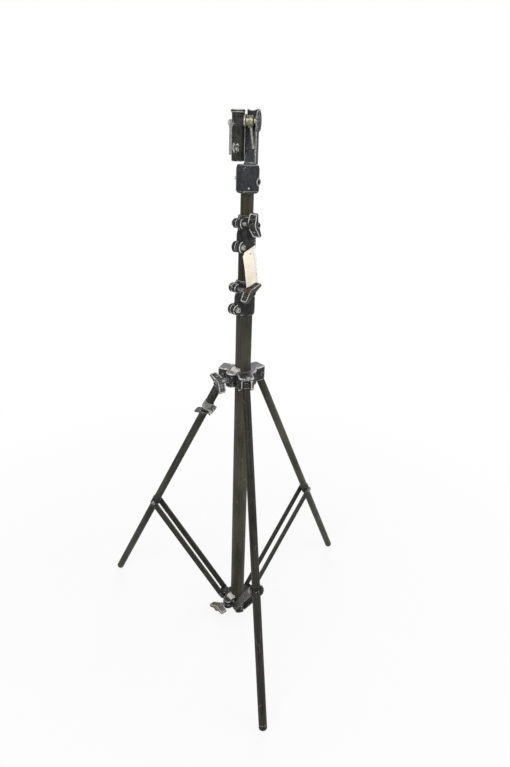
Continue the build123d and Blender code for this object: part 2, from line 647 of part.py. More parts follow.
def head_socket():
    """Casting on the top riser: round socket below, upright and tilt cheek above."""
    body = turned([(0, SOCKET_BOTTOM), (SOCKET_RADIUS - 3.5, SOCKET_BOTTOM),
                   (SOCKET_RADIUS, SOCKET_BOTTOM + 5), (SOCKET_RADIUS, SOCKET_TOP - 8),
                   (SOCKET_RADIUS - 2.5, SOCKET_TOP), (0, SOCKET_TOP)])
    body += head_upright() + tilt_cheek()
    body += set_screw_place() * rod_x(SET_SCREW_RADIUS + 3.5, SOCKET_RADIUS - 6, SOCKET_RADIUS + 4)
    body -= set_screw_place() * rod_x(SET_SCREW_RADIUS, 0, SOCKET_RADIUS + 5)
    body -= rod(TOP_RISER_OD / 2, SOCKET_BOTTOM - 1, SOCKET_BOTTOM + SOCKET_SEAT)
    body -= Pos(0, 0, TILT_HEIGHT) * rod_x(STUD_RADIUS + RUNNING_FIT, CHEEK_INNER - 1, CHEEK_OUTER + 1)
    return head_frame() * body


def set_screw_place():
    return around(-20) * Pos(0, 0, SOCKET_BOTTOM + 25)


def head_set_screw():
    """Hexagon-socket screw that holds the head on the top riser."""
    screw = rod_x(SET_SCREW_RADIUS, TOP_RISER_OD / 2, SOCKET_RADIUS + 1.5)
    screw -= hexagon_x(5, SOCKET_RADIUS - 4, SOCKET_RADIUS + 3)
    return head_frame() * set_screw_place() * screw


def head_pins():
    """Small cross pin and rivet in the socket's wall."""
    pin = around(192) * Pos(0, 0, SOCKET_BOTTOM + 31) * rod_x(3.5, SOCKET_RADIUS - 0.5, SOCKET_RADIUS + 3)
    rivet = around(-72) * Pos(0, 0, SOCKET_BOTTOM + 12) * rod_x(2.2, SOCKET_RADIUS - 0.3, SOCKET_RADIUS + 1)
    return head_frame() * Compound([pin, rivet])


def boom_sleeve():
    """Socket tube for a boom or a spigot, with a flange and its spot-faced tilt boss."""
    radius = SLEEVE_OD / 2
    rim = radius + SLEEVE_RIM_PROUD
    bottom = SLEEVE_TOP - SLEEVE_LENGTH
    rim_start = SLEEVE_TOP - SLEEVE_RIM
    body = turned([(0, bottom), (radius - 0.6, bottom), (radius, bottom + 1.5), (radius, rim_start),
                   (rim, rim_start + 1.5), (rim, SLEEVE_TOP - 1), (rim - 1, SLEEVE_TOP), (0, SLEEVE_TOP)])
    body = Pos(SLEEVE_OFFSET, 0, 0) * body
    body += slab((BOSS_FACE - FLANGE_THICKNESS, BOSS_FACE), (1, FLANGE_BACK), (bottom + 1, rim_start - 1))
    body += Pos(0, 0, TILT_HEIGHT) * rod_x(SLEEVE_BOSS_RADIUS, SLEEVE_OFFSET, BOSS_FACE)
    body -= Pos(SLEEVE_OFFSET, 0, 0) * rod(SLEEVE_BORE / 2, bottom - 1, SLEEVE_TOP + 1)
    body -= Pos(0, 0, TILT_HEIGHT) * rod_x(STUD_RADIUS, BOSS_FACE - STUD_ROOT, BOSS_FACE + 1)
    return head_frame() * body


def shoe_outer():
    return SLEEVE_OFFSET - SLEEVE_OD / 2 - SHOE_THICKNESS


def sleeve_shoe():
    """Flat steel key strip along the sleeve's outer side."""
    half = SHOE_WIDTH / 2
    low = TILT_HEIGHT - SHOE_DROP
    high = TILT_HEIGHT + SHOE_RISE
    strip = slab((shoe_outer(), SLEEVE_OFFSET), (-half, half), (low, high))
    strip -= Pos(SLEEVE_OFFSET, 0, 0) * rod(SLEEVE_OD / 2, low - 1, high + 1)
    return head_frame() * strip


def shoe_screw():
    rim = SHOE_SCREW_RADIUS
    screw = turned([(0, 0), (rim, 0), (rim, 2.2), (rim - 2.5, 4), (0, 4)])
    return head_frame() * Pos(shoe_outer(), 0, TILT_HEIGHT - SHOE_SCREW_DROP) * Rot(0, -90, 0) * screw


def tilt_stud():
    """Stud from the sleeve's boss through the hub, the cheek and the disc."""
    end = CHEEK_OUTER + SIDE_PLAY + DISC_THICKNESS + STUD_END
    stud = rod_x(STUD_RADIUS, BOSS_FACE - STUD_ROOT, end)
    stud = chamfer(stud.edges().sort_by(Axis.X)[-1], 1)
    return head_frame() * Pos(0, 0, TILT_HEIGHT) * stud


def tilt_disc():
    """Outer friction disc beside the cheek."""
    inner = CHEEK_OUTER + SIDE_PLAY
    outer = inner + DISC_THICKNESS
    disc = rod_x(DISC_RADIUS, inner, outer)
    disc = chamfer(disc.edges().sort_by(Axis.X)[-1], 1.2)
    disc -= rod_x(DISC_RADIUS - 4, outer - 0.8, outer + 1)
    disc += rod_x(2 * STUD_RADIUS, inner, outer + 0.5)
    return head_frame() * Pos(0, 0, TILT_HEIGHT) * (disc - rod_x(STUD_RADIUS, inner - 1, outer + 1))


def tilt_washer():
    ring = rod_x(WASHER_RADIUS, BOSS_FACE, BOSS_FACE + WASHER_THICKNESS)
    ring -= rod_x(STUD_RADIUS, BOSS_FACE - 1, BOSS_FACE + WASHER_THICKNESS + 1)
    return head_frame() * Pos(0, 0, TILT_HEIGHT) * ring


def hub_frame():
    """Frame of the clamp hub: X on the tilt axis, turned so that the handle leans back."""
    return head_frame() * Pos(0, 0, TILT_HEIGHT) * Rot(HANDLE_TURN, 0, 0)


def handle_place():
    return Pos(HUB_START + HUB_BARREL / 2, 0, 0) * Rot(0, -HANDLE_CRANK, 0)


def clamp_hub():
    """Round clamp nut on the tilt stud, with a nose and a blind hole for its handle."""
    end = HUB_START + HUB_LENGTH
    middle = HUB_START + HUB_BARREL / 2
    hub = rod_x(HUB_RADIUS, HUB_START, HUB_START + HUB_BARREL)
    hub = chamfer(hub.edges().filter_by(GeomType.CIRCLE), 2.2)
    hub += rod_x(HUB_NOSE_RADIUS, middle, end)
    hub += Pos(middle, 0, 0) * rod(HUB_BOSS_RADIUS, -HUB_RADIUS - 2, -HUB_RADIUS / 2)
    hub -= rod_x(STUD_RADIUS + RUNNING_FIT, HUB_START - 1, end + 1)
    hub -= handle_place() * rod(HANDLE_RADIUS, -2 * HUB_RADIUS, -HANDLE_ROOT)
    return hub_frame() * hub


def hub_handle():
    """Handle screwed into the clamp hub, a little thicker at its free end."""
    end = -HANDLE_LENGTH
    handle = turned([(0, -HANDLE_ROOT), (HANDLE_RADIUS, -HANDLE_ROOT), (HANDLE_RADIUS, end + 6),
                     (HANDLE_RADIUS + 0.5, end + 4), (HANDLE_RADIUS + 0.5, end + 1),
                     (HANDLE_RADIUS - 0.5, end), (0, end)])
    return hub_frame() * handle_place() * handle


# ================================================================ paper tag
def paper_tag():
    """Paper tag with a sloping top, held against the collar and hanging clear of the riser."""
    half = TAG_WIDTH / 2
    outline = make_face(Polyline((-half, -20), (-half + 5, -10.5), (half - 2.5, 0), (half, -1),
                                 (half - 4, -TAG_LENGTH), (-half, -TAG_LENGTH), close=True))
    outline -= Pos(1.3, -16.5) * Circle(1.6)
    flat = Plane.YZ * (Rot(0, 0, TAG_TURN) * outline)
    block = extrude(flat, 2 * RISER_OD, both=True)
    touch = RISER_OD / 2 + COLLAR_WALL + 0.3
    hang = COLUMN_OD / 2 + COLLAR_WALL + 0.6
    low = hang + 1.2
    path = [(touch, 5), (touch, -12), (hang, -36), (low, -TAG_LENGTH - 5)]
    sheet = Polyline(*[(r, z) for r, z in path],
                     *[(r + TAG_THICKNESS, z) for r, z in reversed(path)], close=True)
    curl = extrude(Plane.XZ * make_face(sheet), 2 * TAG_WIDTH, both=True)
    return around(TAG_AZIMUTH) * Pos(0, TAG_SHIFT, TAG_TOP) * (block & curl)


# ================================================================ assembly
def build_parts():
    parts = {}
    column_top = COLUMN_COLLAR_BOTTOM
    riser_top = RISER_COLLAR_BOTTOM
    parts["column_tube"] = column_tube()
    parts["column_plug"] = column_plug()
    parts["middle_riser_tube"] = riser_tube(RISER_OD, RISER_BOTTOM, riser_top + COLLAR_SEAT)
    parts["middle_riser_bush"] = riser_bush(RISER_OD, RISER_BOTTOM, COLUMN_OD)
    parts["top_riser_tube"] = riser_tube(TOP_RISER_OD, TOP_RISER_BOTTOM, SOCKET_BOTTOM + SOCKET_SEAT)
    parts["top_riser_bush"] = riser_bush(TOP_RISER_OD, TOP_RISER_BOTTOM, RISER_OD)
    collars = (("column", COLUMN_OD, RISER_OD, column_top, COLUMN_BOLT_AZIMUTH, -52.0),
               ("riser", RISER_OD, TOP_RISER_OD, riser_top, RISER_BOLT_AZIMUTH, 8.0))
    for name, lower, upper, bottom, azimuth, turn in collars:
        place = collar_frame(bottom, azimuth)
        parts[name + "_collar"] = place * collar_casting(lower, upper)
        parts[name + "_collar_bolt"] = place * collar_bolt(lower)
        parts[name + "_collar_screw"] = place * collar_screw(lower)
        parts[name + "_collar_knob"] = place * collar_knob(lower, turn)
    parts["leg_yoke"] = leg_yoke()
    parts["base_collar"] = base_collar()
    clamps = (("yoke", YOKE_BOTTOM, YOKE_TOP, 45.0), ("base", BASE_BOTTOM, BASE_TOP, 108.0))
    for name, bottom, top, turn in clamps:
        middle = (bottom + top) / 2
        parts[name + "_pad"] = clamp_pad(bottom, top)
        parts[name + "_clamp_screw"] = clamp_screw(middle)
        parts[name + "_knob"] = clamp_knob(middle, turn)
    parts["hinge_pins"] = hinge_pins()
    parts["base_pins"] = base_pins()
    for name in LEG_AZIMUTHS:
        levelling = name == "left"
        place = leg_frame(name)
        start = GUIDE_START if levelling else LEG_TUBE_START
        bore = guide_bore() if levelling else LEG_OD / 2 - LEG_WALL
        parts["leg_head_" + name] = place * leg_head(start, bore)
        parts["leg_tube_" + name] = place * leg_tube(LEVELLING_TUBE_START if levelling else start)
        parts["leg_tip_" + name] = place * leg_tip() - floor_block()
        parts["strut_sleeve_" + name] = place * strut_sleeve(RUNNING_FIT if levelling else 0)
        parts["strut_bars_" + name] = strut_frame(name) * strut_bars()
        parts["strut_screws_" + name] = strut_frame(name) * strut_screws()
    parts["guide_tube"] = leg_frame("left") * guide_tube()
    parts["lock_collar"] = leg_frame("left") * lock_collar()
    parts["lock_plate"] = leg_frame("left") * lock_plate()
    parts["head_socket"] = head_socket() - head_pins()
    parts["head_set_screw"] = head_set_screw()
    parts["head_pins"] = head_pins()
    parts["boom_sleeve"] = boom_sleeve()
    parts["sleeve_shoe"] = sleeve_shoe()
    parts["shoe_screw"] = shoe_screw()
    parts["tilt_stud"] = tilt_stud()
    parts["tilt_disc"] = tilt_disc()
    parts["tilt_washer"] = tilt_washer()
    parts["clamp_hub"] = clamp_hub()
    parts["hub_handle"] = hub_handle()
    parts["paper_tag"] = paper_tag()
    return parts


os.makedirs("parts", exist_ok=True)
for node, shape in build_parts().items():
    export_step(shape, os.path.join("parts", node + ".step"))
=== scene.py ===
"""Looks for the heavy telescopic stand: worn paint, bare edges, nylon, brass and a paper tag."""
import json
from math import cos, pi, radians, sin, tan

import bmesh
import bpy
import numpy as np
from mathutils import Matrix, Vector


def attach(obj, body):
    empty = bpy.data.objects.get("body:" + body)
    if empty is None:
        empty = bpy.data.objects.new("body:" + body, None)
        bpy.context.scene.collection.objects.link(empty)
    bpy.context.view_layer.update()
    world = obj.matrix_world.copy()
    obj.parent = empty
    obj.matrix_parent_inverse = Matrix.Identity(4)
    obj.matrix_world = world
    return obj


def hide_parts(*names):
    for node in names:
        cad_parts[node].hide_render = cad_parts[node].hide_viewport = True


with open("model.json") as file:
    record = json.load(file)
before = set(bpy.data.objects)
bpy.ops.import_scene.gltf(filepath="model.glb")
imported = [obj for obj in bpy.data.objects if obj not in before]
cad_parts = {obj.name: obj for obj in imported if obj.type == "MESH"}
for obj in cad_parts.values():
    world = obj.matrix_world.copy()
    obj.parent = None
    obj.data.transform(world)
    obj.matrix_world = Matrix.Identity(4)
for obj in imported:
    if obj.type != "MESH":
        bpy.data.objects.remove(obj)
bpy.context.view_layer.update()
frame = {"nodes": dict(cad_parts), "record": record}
NODES = frame["nodes"]
LEG_AZIMUTHS = {"front": radians(-90), "right": radians(30), "left": radians(150)}
BEHAVIOUR = frame["record"]["behaviour"]
BODY_OF = {node: body for body, nodes in BEHAVIOUR["bodies"].items() for node in nodes}
JOINTS = {joint["name"]: joint for joint in BEHAVIOUR["joints"]}
MM = 0.001
UP = Vector((0, 0, 1))


# ---------------------------------------------------------------- node helpers
MIX_FIRST, MIX_SECOND, MIX_RESULT = 6, 7, 2  # places of the Mix node's colour sockets


class Tree:
    """Small wrapper that adds and wires nodes in one node tree."""

    def __init__(self, tree):
        self.tree = tree

    def add(self, kind, values=None, **settings):
        made = self.tree.nodes.new(kind)
        for key, value in settings.items():
            setattr(made, key, value)
        for key, value in (values or {}).items():
            self.put(value, made.inputs[key])
        return made

    def put(self, value, socket):
        if isinstance(value, bpy.types.NodeSocket):
            self.tree.links.new(value, socket)
        else:
            socket.default_value = value

    def math(self, operation, first, second):
        made = self.add("ShaderNodeMath", {0: first, 1: second}, operation=operation)
        return made.outputs[0]

    def ramp(self, value, low, high, start=0.0, end=1.0):
        """Smooth step of a value from start to end between low and high."""
        given = {"Value": value, "From Min": low, "From Max": high, "To Min": start, "To Max": end}
        made = self.add("ShaderNodeMapRange", given, interpolation_type="SMOOTHSTEP")
        return made.outputs["Result"]

    def stretched(self, vector, along):
        """Vector whose Z counts for less, so that a pattern on it is drawn out along Z."""
        made = self.add("ShaderNodeVectorMath", {0: vector, 1: (1.0, 1.0, along)}, operation="MULTIPLY")
        return made.outputs[0]

    def part(self, vector, axis):
        """One coordinate of a vector."""
        return self.add("ShaderNodeSeparateXYZ", {0: vector}).outputs[axis]

    def mix(self, mask, first, second):
        made = self.add("ShaderNodeMix", {"Factor": mask}, data_type="RGBA")
        self.put(first, made.inputs[MIX_FIRST])
        self.put(second, made.inputs[MIX_SECOND])
        return made.outputs[MIX_RESULT]

    def noise(self, vector, scale, detail=4.0, roughness=0.55):
        given = {"Vector": vector, "Scale": scale, "Detail": detail, "Roughness": roughness}
        return self.add("ShaderNodeTexNoise", given).outputs["Fac"]


def new_group(name, inputs, outputs):
    """Empty shader node group with named float, vector or colour sockets."""
    group = bpy.data.node_groups.new(name, "ShaderNodeTree")
    for label, (kind, default) in inputs.items():
        socket = group.interface.new_socket(label, in_out="INPUT", socket_type="NodeSocket" + kind)
        if default is not None:
            socket.default_value = default
    for label, kind in outputs.items():
        group.interface.new_socket(label, in_out="OUTPUT", socket_type="NodeSocket" + kind)
    tree = Tree(group)
    return group, tree, tree.add("NodeGroupInput").outputs, tree.add("NodeGroupOutput").inputs


# Paint is worn off where the edge value and the noise together pass NEED. Amount times EASE comes off NEED,
# FADE is the soft margin, and PATCH is the patches' scale as a share of the fine noise's.
WEAR_NEED, WEAR_EASE, WEAR_FADE, WEAR_PATCH = 0.19, 0.07, 0.04, 0.16
WEAR_BREAK = 0.10  # how much the noise counts beside the edge value
CHIP_NEED, CHIP_EASE, CHIP_FADE, CHIP_PATCH = 1.36, 0.3, 0.03, 0.13
STREAK_ALONG, SCUFF_ALONG, BLOTCH_ALONG = 0.035, 0.12, 0.35  # how much the tube's length counts
BLOTCH_SCALE, SCUFF_SCALE, SCUFF_PATCH = 0.12, 1.9, 0.2  # shares of the group's scale
SCUFF_LOW, SCUFF_HIGH = 1.18, 1.27  # sum of the two noises where a scuff starts and where it is full
BEVEL_SAMPLES = 6


def edge_wear_group():
    """Mask of the corners where paint has worn away, broken up by noise."""
    inputs = {"Vector": ("Vector", None), "Edge": ("Float", 0.0), "Amount": ("Float", 0.5),
              "Scale": ("Float", 300.0)}
    group, t, given, out = new_group("edge_wear", inputs, {"Mask": "Float"})
    broken = t.noise(given["Vector"], given["Scale"])
    patchy = t.noise(given["Vector"], t.math("MULTIPLY", given["Scale"], WEAR_PATCH), detail=2.0)
    lift = t.math("MULTIPLY", t.math("ADD", broken, patchy), WEAR_BREAK)
    need = t.math("SUBTRACT", WEAR_NEED, t.math("MULTIPLY", given["Amount"], WEAR_EASE))
    over = t.math("SUBTRACT", t.math("ADD", given["Edge"], lift), need)
    t.put(t.ramp(over, 0.0, WEAR_FADE), out["Mask"])
    return group


def chips_group():
    """Mask of small flakes of missing paint, gathered in patches."""
    inputs = {"Vector": ("Vector", None), "Scale": ("Float", 400.0), "Amount": ("Float", 0.3)}
    group, t, given, out = new_group("paint_chips", inputs, {"Mask": "Float"})
    fine = t.noise(given["Vector"], given["Scale"], detail=3.0, roughness=0.6)
    patch = t.noise(given["Vector"], t.math("MULTIPLY", given["Scale"], CHIP_PATCH), detail=2.0)
    need = t.math("SUBTRACT", CHIP_NEED, t.math("MULTIPLY", given["Amount"], CHIP_EASE))
    over = t.math("SUBTRACT", t.math("ADD", fine, patch), need)
    t.put(t.ramp(over, 0.0, CHIP_FADE), out["Mask"])
    return group


def streaks_group():
    """Long soft streaks, blotches and scuffs along the vector's Z, for drawn tube."""
    inputs = {"Vector": ("Vector", None), "Scale": ("Float", 160.0)}
    outputs = {"Streak": "Float", "Blotch": "Float", "Scuff": "Float"}
    group, t, given, out = new_group("drawn_streaks", inputs, outputs)
    long = t.stretched(given["Vector"], STREAK_ALONG)
    t.put(t.noise(long, given["Scale"], detail=5.0, roughness=0.6), out["Streak"])
    loose = t.stretched(given["Vector"], BLOTCH_ALONG)
    t.put(t.noise(loose, t.math("MULTIPLY", given["Scale"], BLOTCH_SCALE), detail=4.0), out["Blotch"])
    short = t.stretched(given["Vector"], SCUFF_ALONG)
    fine = t.noise(short, t.math("MULTIPLY", given["Scale"], SCUFF_SCALE), detail=3.0, roughness=0.65)
    where = t.noise(loose, t.math("MULTIPLY", given["Scale"], SCUFF_PATCH), detail=2.0)
    t.put(t.ramp(t.math("ADD", fine, where), SCUFF_LOW, SCUFF_HIGH), out["Scuff"])
    return group


GROUPS = {"edge": edge_wear_group(), "chips": chips_group(), "streaks": streaks_group()}


class Material:
    """Principled material with an Object-coordinate vector, turned for a leaning piece."""

    def __init__(self, name, turn=(0.0, 0.0, 0.0), **plain):
        self.material = bpy.data.materials.new(name)
        self.material.use_nodes = True
        self.tree = Tree(self.material.node_tree)
        self.shader = self.material.node_tree.nodes["Principled BSDF"]
        for key, value in plain.items():
            self.shader.inputs[key.replace("_", " ")].default_value = value
        place = self.tree.add("ShaderNodeTexCoord")
        self.local_normal = place.outputs["Normal"]
        turned = self.tree.add("ShaderNodeMapping", {"Vector": place.outputs["Object"], "Rotation": turn})
        self.vector = turned.outputs[0]

    def group(self, key, **values):
        made = self.tree.add("ShaderNodeGroup", node_tree=GROUPS[key])
        self.tree.put(self.vector, made.inputs["Vector"])
        for label, value in values.items():
            self.tree.put(value, made.inputs[label])
        return made.outputs

    def edge(self, width, amount, scale):
        """Worn corners, from the mesh's own 'edge' attribute, or from a bevel of the given width."""
        if width:
            soft = self.tree.add("ShaderNodeBevel", {"Radius": width}, samples=BEVEL_SAMPLES).outputs[0]
            plain = self.tree.add("ShaderNodeNewGeometry").outputs["Normal"]
            alike = self.tree.add("ShaderNodeVectorMath", {0: soft, 1: plain}, operation="DOT_PRODUCT")
            edge = self.tree.math("SUBTRACT", 1.0, alike.outputs["Value"])
        else:
            edge = self.tree.add("ShaderNodeAttribute", attribute_name="edge").outputs["Fac"]
        return self.group("edge", Edge=edge, Amount=amount, Scale=scale)["Mask"]

    def feed(self, **sockets):
        for label, socket in sockets.items():
            self.tree.put(socket, self.shader.inputs[label.replace("_", " ")])

    def bump(self, height, strength, distance=0.5 * MM):
        given = {"Strength": strength, "Distance": distance, "Height": height}
        self.tree.put(self.tree.add("ShaderNodeBump", given).outputs[0], self.shader.inputs["Normal"])


def rgb(red, green, blue):
    return (red, green, blue, 1.0)


BARE = rgb(0.52, 0.51, 0.48)
DARK_BARE = rgb(0.40, 0.40, 0.39)
BRIGHT_BARE = rgb(0.72, 0.71, 0.68)
DUST = rgb(0.20, 0.20, 0.19)
SCUFFED = rgb(0.16, 0.155, 0.13)
DULL = {"Specular_IOR_Level": 0.22}


# ---------------------------------------------------------------- finishes
LIP_BACK, LIP_FRONT = -24 * MM, -40 * MM  # up-facing faces get their full painted highlight behind the yoke's front lip and a fifth of it on the lip, which stands in painted shade
BAND_BELOW, BAND_ABOVE = 6 * MM, 35 * MM  # how softly a recoloured band begins and ends
PATCH_CORE, PATCH_RIM, PATCH_EXTRA = 6 * MM, 18 * MM, 0.75  # a spot where the paint has flaked more
TUBE_EDGE, METAL_EDGE = 1.0 * MM, 0.8 * MM  # width of the worn corners


def tube_finish(name, dark, light, turn=(0.0, 0.0, 0.0)):
    """Thin olive-grey paint on drawn tube: streaked, scuffed and worn."""
    m = Material(name, turn, **DULL)
    t = m.tree
    marks = m.group("streaks", Scale=170.0)
    streak = t.math("MULTIPLY", marks["Streak"], 0.55)
    blotch = t.math("MULTIPLY", marks["Blotch"], 0.75)
    colour = t.mix(t.ramp(t.math("ADD", streak, blotch), low=0.46, high=0.86), dark, light)
    colour = t.mix(t.math("MULTIPLY", marks["Scuff"], 0.3), colour, SCUFFED)
    flaked = t.math("MULTIPLY", m.group("chips", Scale=420.0, Amount=0.16)["Mask"], 0.7)
    bare = t.math("MAXIMUM", m.edge(width=TUBE_EDGE, amount=0.35, scale=260.0), flaked)
    m.feed(Base_Color=t.mix(bare, colour, BARE), Metallic=t.math("MULTIPLY", bare, 0.7),
           Roughness=t.ramp(marks["Streak"], low=0.3, high=0.7, start=0.36, end=0.58))
    m.bump(marks["Streak"], strength=0.12)
    return m.material


def casting_finish(name, dark, light, edge=0.5, chips=0.3, top=None, width=0.0, patch=None,
                   grime=DUST, band=None):
    """Black paint over a sand casting, dusty in places and worn to bare metal on the corners.

    top is the colour of a painted highlight on faces that look up, weaker towards the yoke's front lip as
    painted shade, band a stretch of height with its own colour, and patch the middle of a spot with more
    flakes.
    """
    m = Material(name, **DULL)
    t = m.tree
    tone = t.noise(m.vector, scale=60.0, detail=5.0, roughness=0.6)
    grain = t.noise(m.vector, scale=900.0, detail=2.0)
    dust = t.noise(m.vector, scale=210.0, detail=5.0, roughness=0.7)
    colour = t.mix(t.ramp(tone, low=0.35, high=0.68), dark, light)
    colour = t.mix(t.ramp(dust, low=0.56, high=0.78, start=0.0, end=0.45), colour, grime)
    if top:
        # Painted light: faces that look up take the top colour as a painted highlight, broken by the tone,
        # and only a fifth of it near the front lip as painted shade.
        level = t.ramp(t.part(m.local_normal, "Z"), low=0.55, high=0.95)
        lit_top = t.math("MULTIPLY", level, t.ramp(tone, low=0.36, high=0.6, start=0.45, end=1.0))
        outside_lip_shade = t.ramp(t.part(m.vector, "Y"), low=LIP_FRONT, high=LIP_BACK, start=0.2, end=1.0)
        colour = t.mix(t.math("MULTIPLY", lit_top, outside_lip_shade), colour, top)
    if band:
        low, high, band_colour = band
        height = t.part(m.vector, "Z")
        above = t.ramp(height, low=low - BAND_BELOW, high=low)
        below = t.ramp(height, low=high, high=high + BAND_ABOVE, start=1.0, end=0.0)
        uneven = t.ramp(dust, low=0.40, high=0.60, start=0.25, end=1.0)
        colour = t.mix(t.math("MULTIPLY", t.math("MULTIPLY", above, below), uneven), colour, band_colour)
    worn = m.edge(width, amount=edge, scale=240.0)
    amount = chips
    if patch:
        away = t.add("ShaderNodeVectorMath", {0: m.vector, 1: patch}, operation="DISTANCE")
        amount = t.ramp(away.outputs["Value"], PATCH_CORE, PATCH_RIM, start=chips + PATCH_EXTRA, end=chips)
    bare = t.math("MAXIMUM", worn, m.group("chips", Scale=330.0, Amount=amount)["Mask"])
    metal = t.mix(t.ramp(dust, low=0.35, high=0.65), DARK_BARE, BRIGHT_BARE)
    m.feed(Base_Color=t.mix(bare, colour, metal), Metallic=t.math("MULTIPLY", bare, 0.4),
           Roughness=t.ramp(tone, low=0.3, high=0.7, start=0.40, end=0.62))
    paint = t.math("MULTIPLY", t.math("ADD", grain, tone), 0.5)
    m.bump(t.math("SUBTRACT", paint, bare), strength=0.3)
    return m.material


def metal_finish(name, dark, light, rough=(0.3, 0.5), metallic=0.85, edge=0.3):
    """Bare or plated metal with tarnish and brighter corners."""
    m = Material(name, Metallic=metallic)
    t = m.tree
    tone = t.noise(m.vector, scale=190.0, detail=5.0, roughness=0.62)
    colour = t.mix(t.ramp(tone, low=0.34, high=0.66), dark, light)
    worn = t.math("MULTIPLY", m.edge(width=METAL_EDGE, amount=edge, scale=420.0), 0.7)
    smooth, coarse = rough
    m.feed(Base_Color=t.mix(worn, colour, BARE),
           Roughness=t.ramp(tone, low=0.3, high=0.7, start=smooth, end=coarse))
    m.bump(tone, strength=0.15)
    return m.material


def plastic_finish(name, dark, light):
    """Moulded plastic, faintly mottled, with pale scuffs."""
    m = Material(name, Specular_IOR_Level=0.35)
    t = m.tree
    tone = t.noise(m.vector, scale=240.0, detail=4.0)
    scuffs = t.math("MULTIPLY", m.group("chips", Scale=520.0, Amount=0.25)["Mask"], 0.5)
    colour = t.mix(t.ramp(tone, low=0.35, high=0.7), dark, light)
    m.feed(Base_Color=t.mix(scuffs, colour, DUST),
           Roughness=t.ramp(tone, low=0.3, high=0.7, start=0.45, end=0.6))
    m.bump(tone, strength=0.2)
    return m.material


def paper_finish():
    """Cream card with soft fibre and faint stains; where it bends away it turns near white as a painted
    highlight, with a pink stripe and dark marks along the bend.
    """
    m = Material("paper_card", Roughness=0.85, Specular_IOR_Level=0.2)
    t = m.tree
    fibre = t.noise(m.vector, scale=1400.0, detail=3.0, roughness=0.7)
    stain = t.noise(m.vector, scale=38.0, detail=3.0)
    mark_noise = t.noise(m.vector, scale=330.0, detail=4.0, roughness=0.7)
    bent = t.add("ShaderNodeAttribute", attribute_name="bend").outputs["Fac"]
    cream, yellowed, fuzz = rgb(0.93, 0.86, 0.75), rgb(0.88, 0.79, 0.66), rgb(0.82, 0.76, 0.66)
    blush, white, bend_mark_colour = rgb(0.90, 0.76, 0.66), rgb(0.97, 0.96, 0.92), rgb(0.36, 0.31, 0.26)
    colour = t.mix(t.ramp(stain, low=0.35, high=0.75), cream, yellowed)
    colour = t.mix(t.ramp(fibre, low=0.5, high=0.8), colour, fuzz)
    rising = t.ramp(bent, low=0.05, high=0.3)
    falling = t.ramp(bent, low=0.3, high=0.55, start=1.0, end=0.0)
    pink = t.math("MULTIPLY", t.math("MULTIPLY", rising, falling), 0.6)
    colour = t.mix(pink, colour, blush)
    # painted highlight: the part bent away towards the light is painted near white
    colour = t.mix(t.ramp(bent, low=0.35, high=0.6), colour, white)
    # dark marks along the fold of the bend, drawn from the mark noise
    folding = t.ramp(bent, low=0.3, high=0.45)
    past = t.ramp(bent, low=0.45, high=0.75, start=1.0, end=0.0)
    bend_marks = t.math("MULTIPLY", t.math("MULTIPLY", folding, past), t.ramp(mark_noise, low=0.44, high=0.62))
    m.feed(Base_Color=t.mix(t.math("MULTIPLY", bend_marks, 0.8), colour, bend_mark_colour))
    m.bump(fibre, strength=0.15, distance=0.2 * MM)
    return m.material


LEG_LEAN = radians(25.7)


def lean(name):
    """Rotation that lays a leg's axis along the pattern's Z."""
    tilt = Matrix.Rotation(LEG_LEAN, 3, "Y") @ Matrix.Rotation(-LEG_AZIMUTHS[name], 3, "Z")
    return tuple(tilt.to_euler())


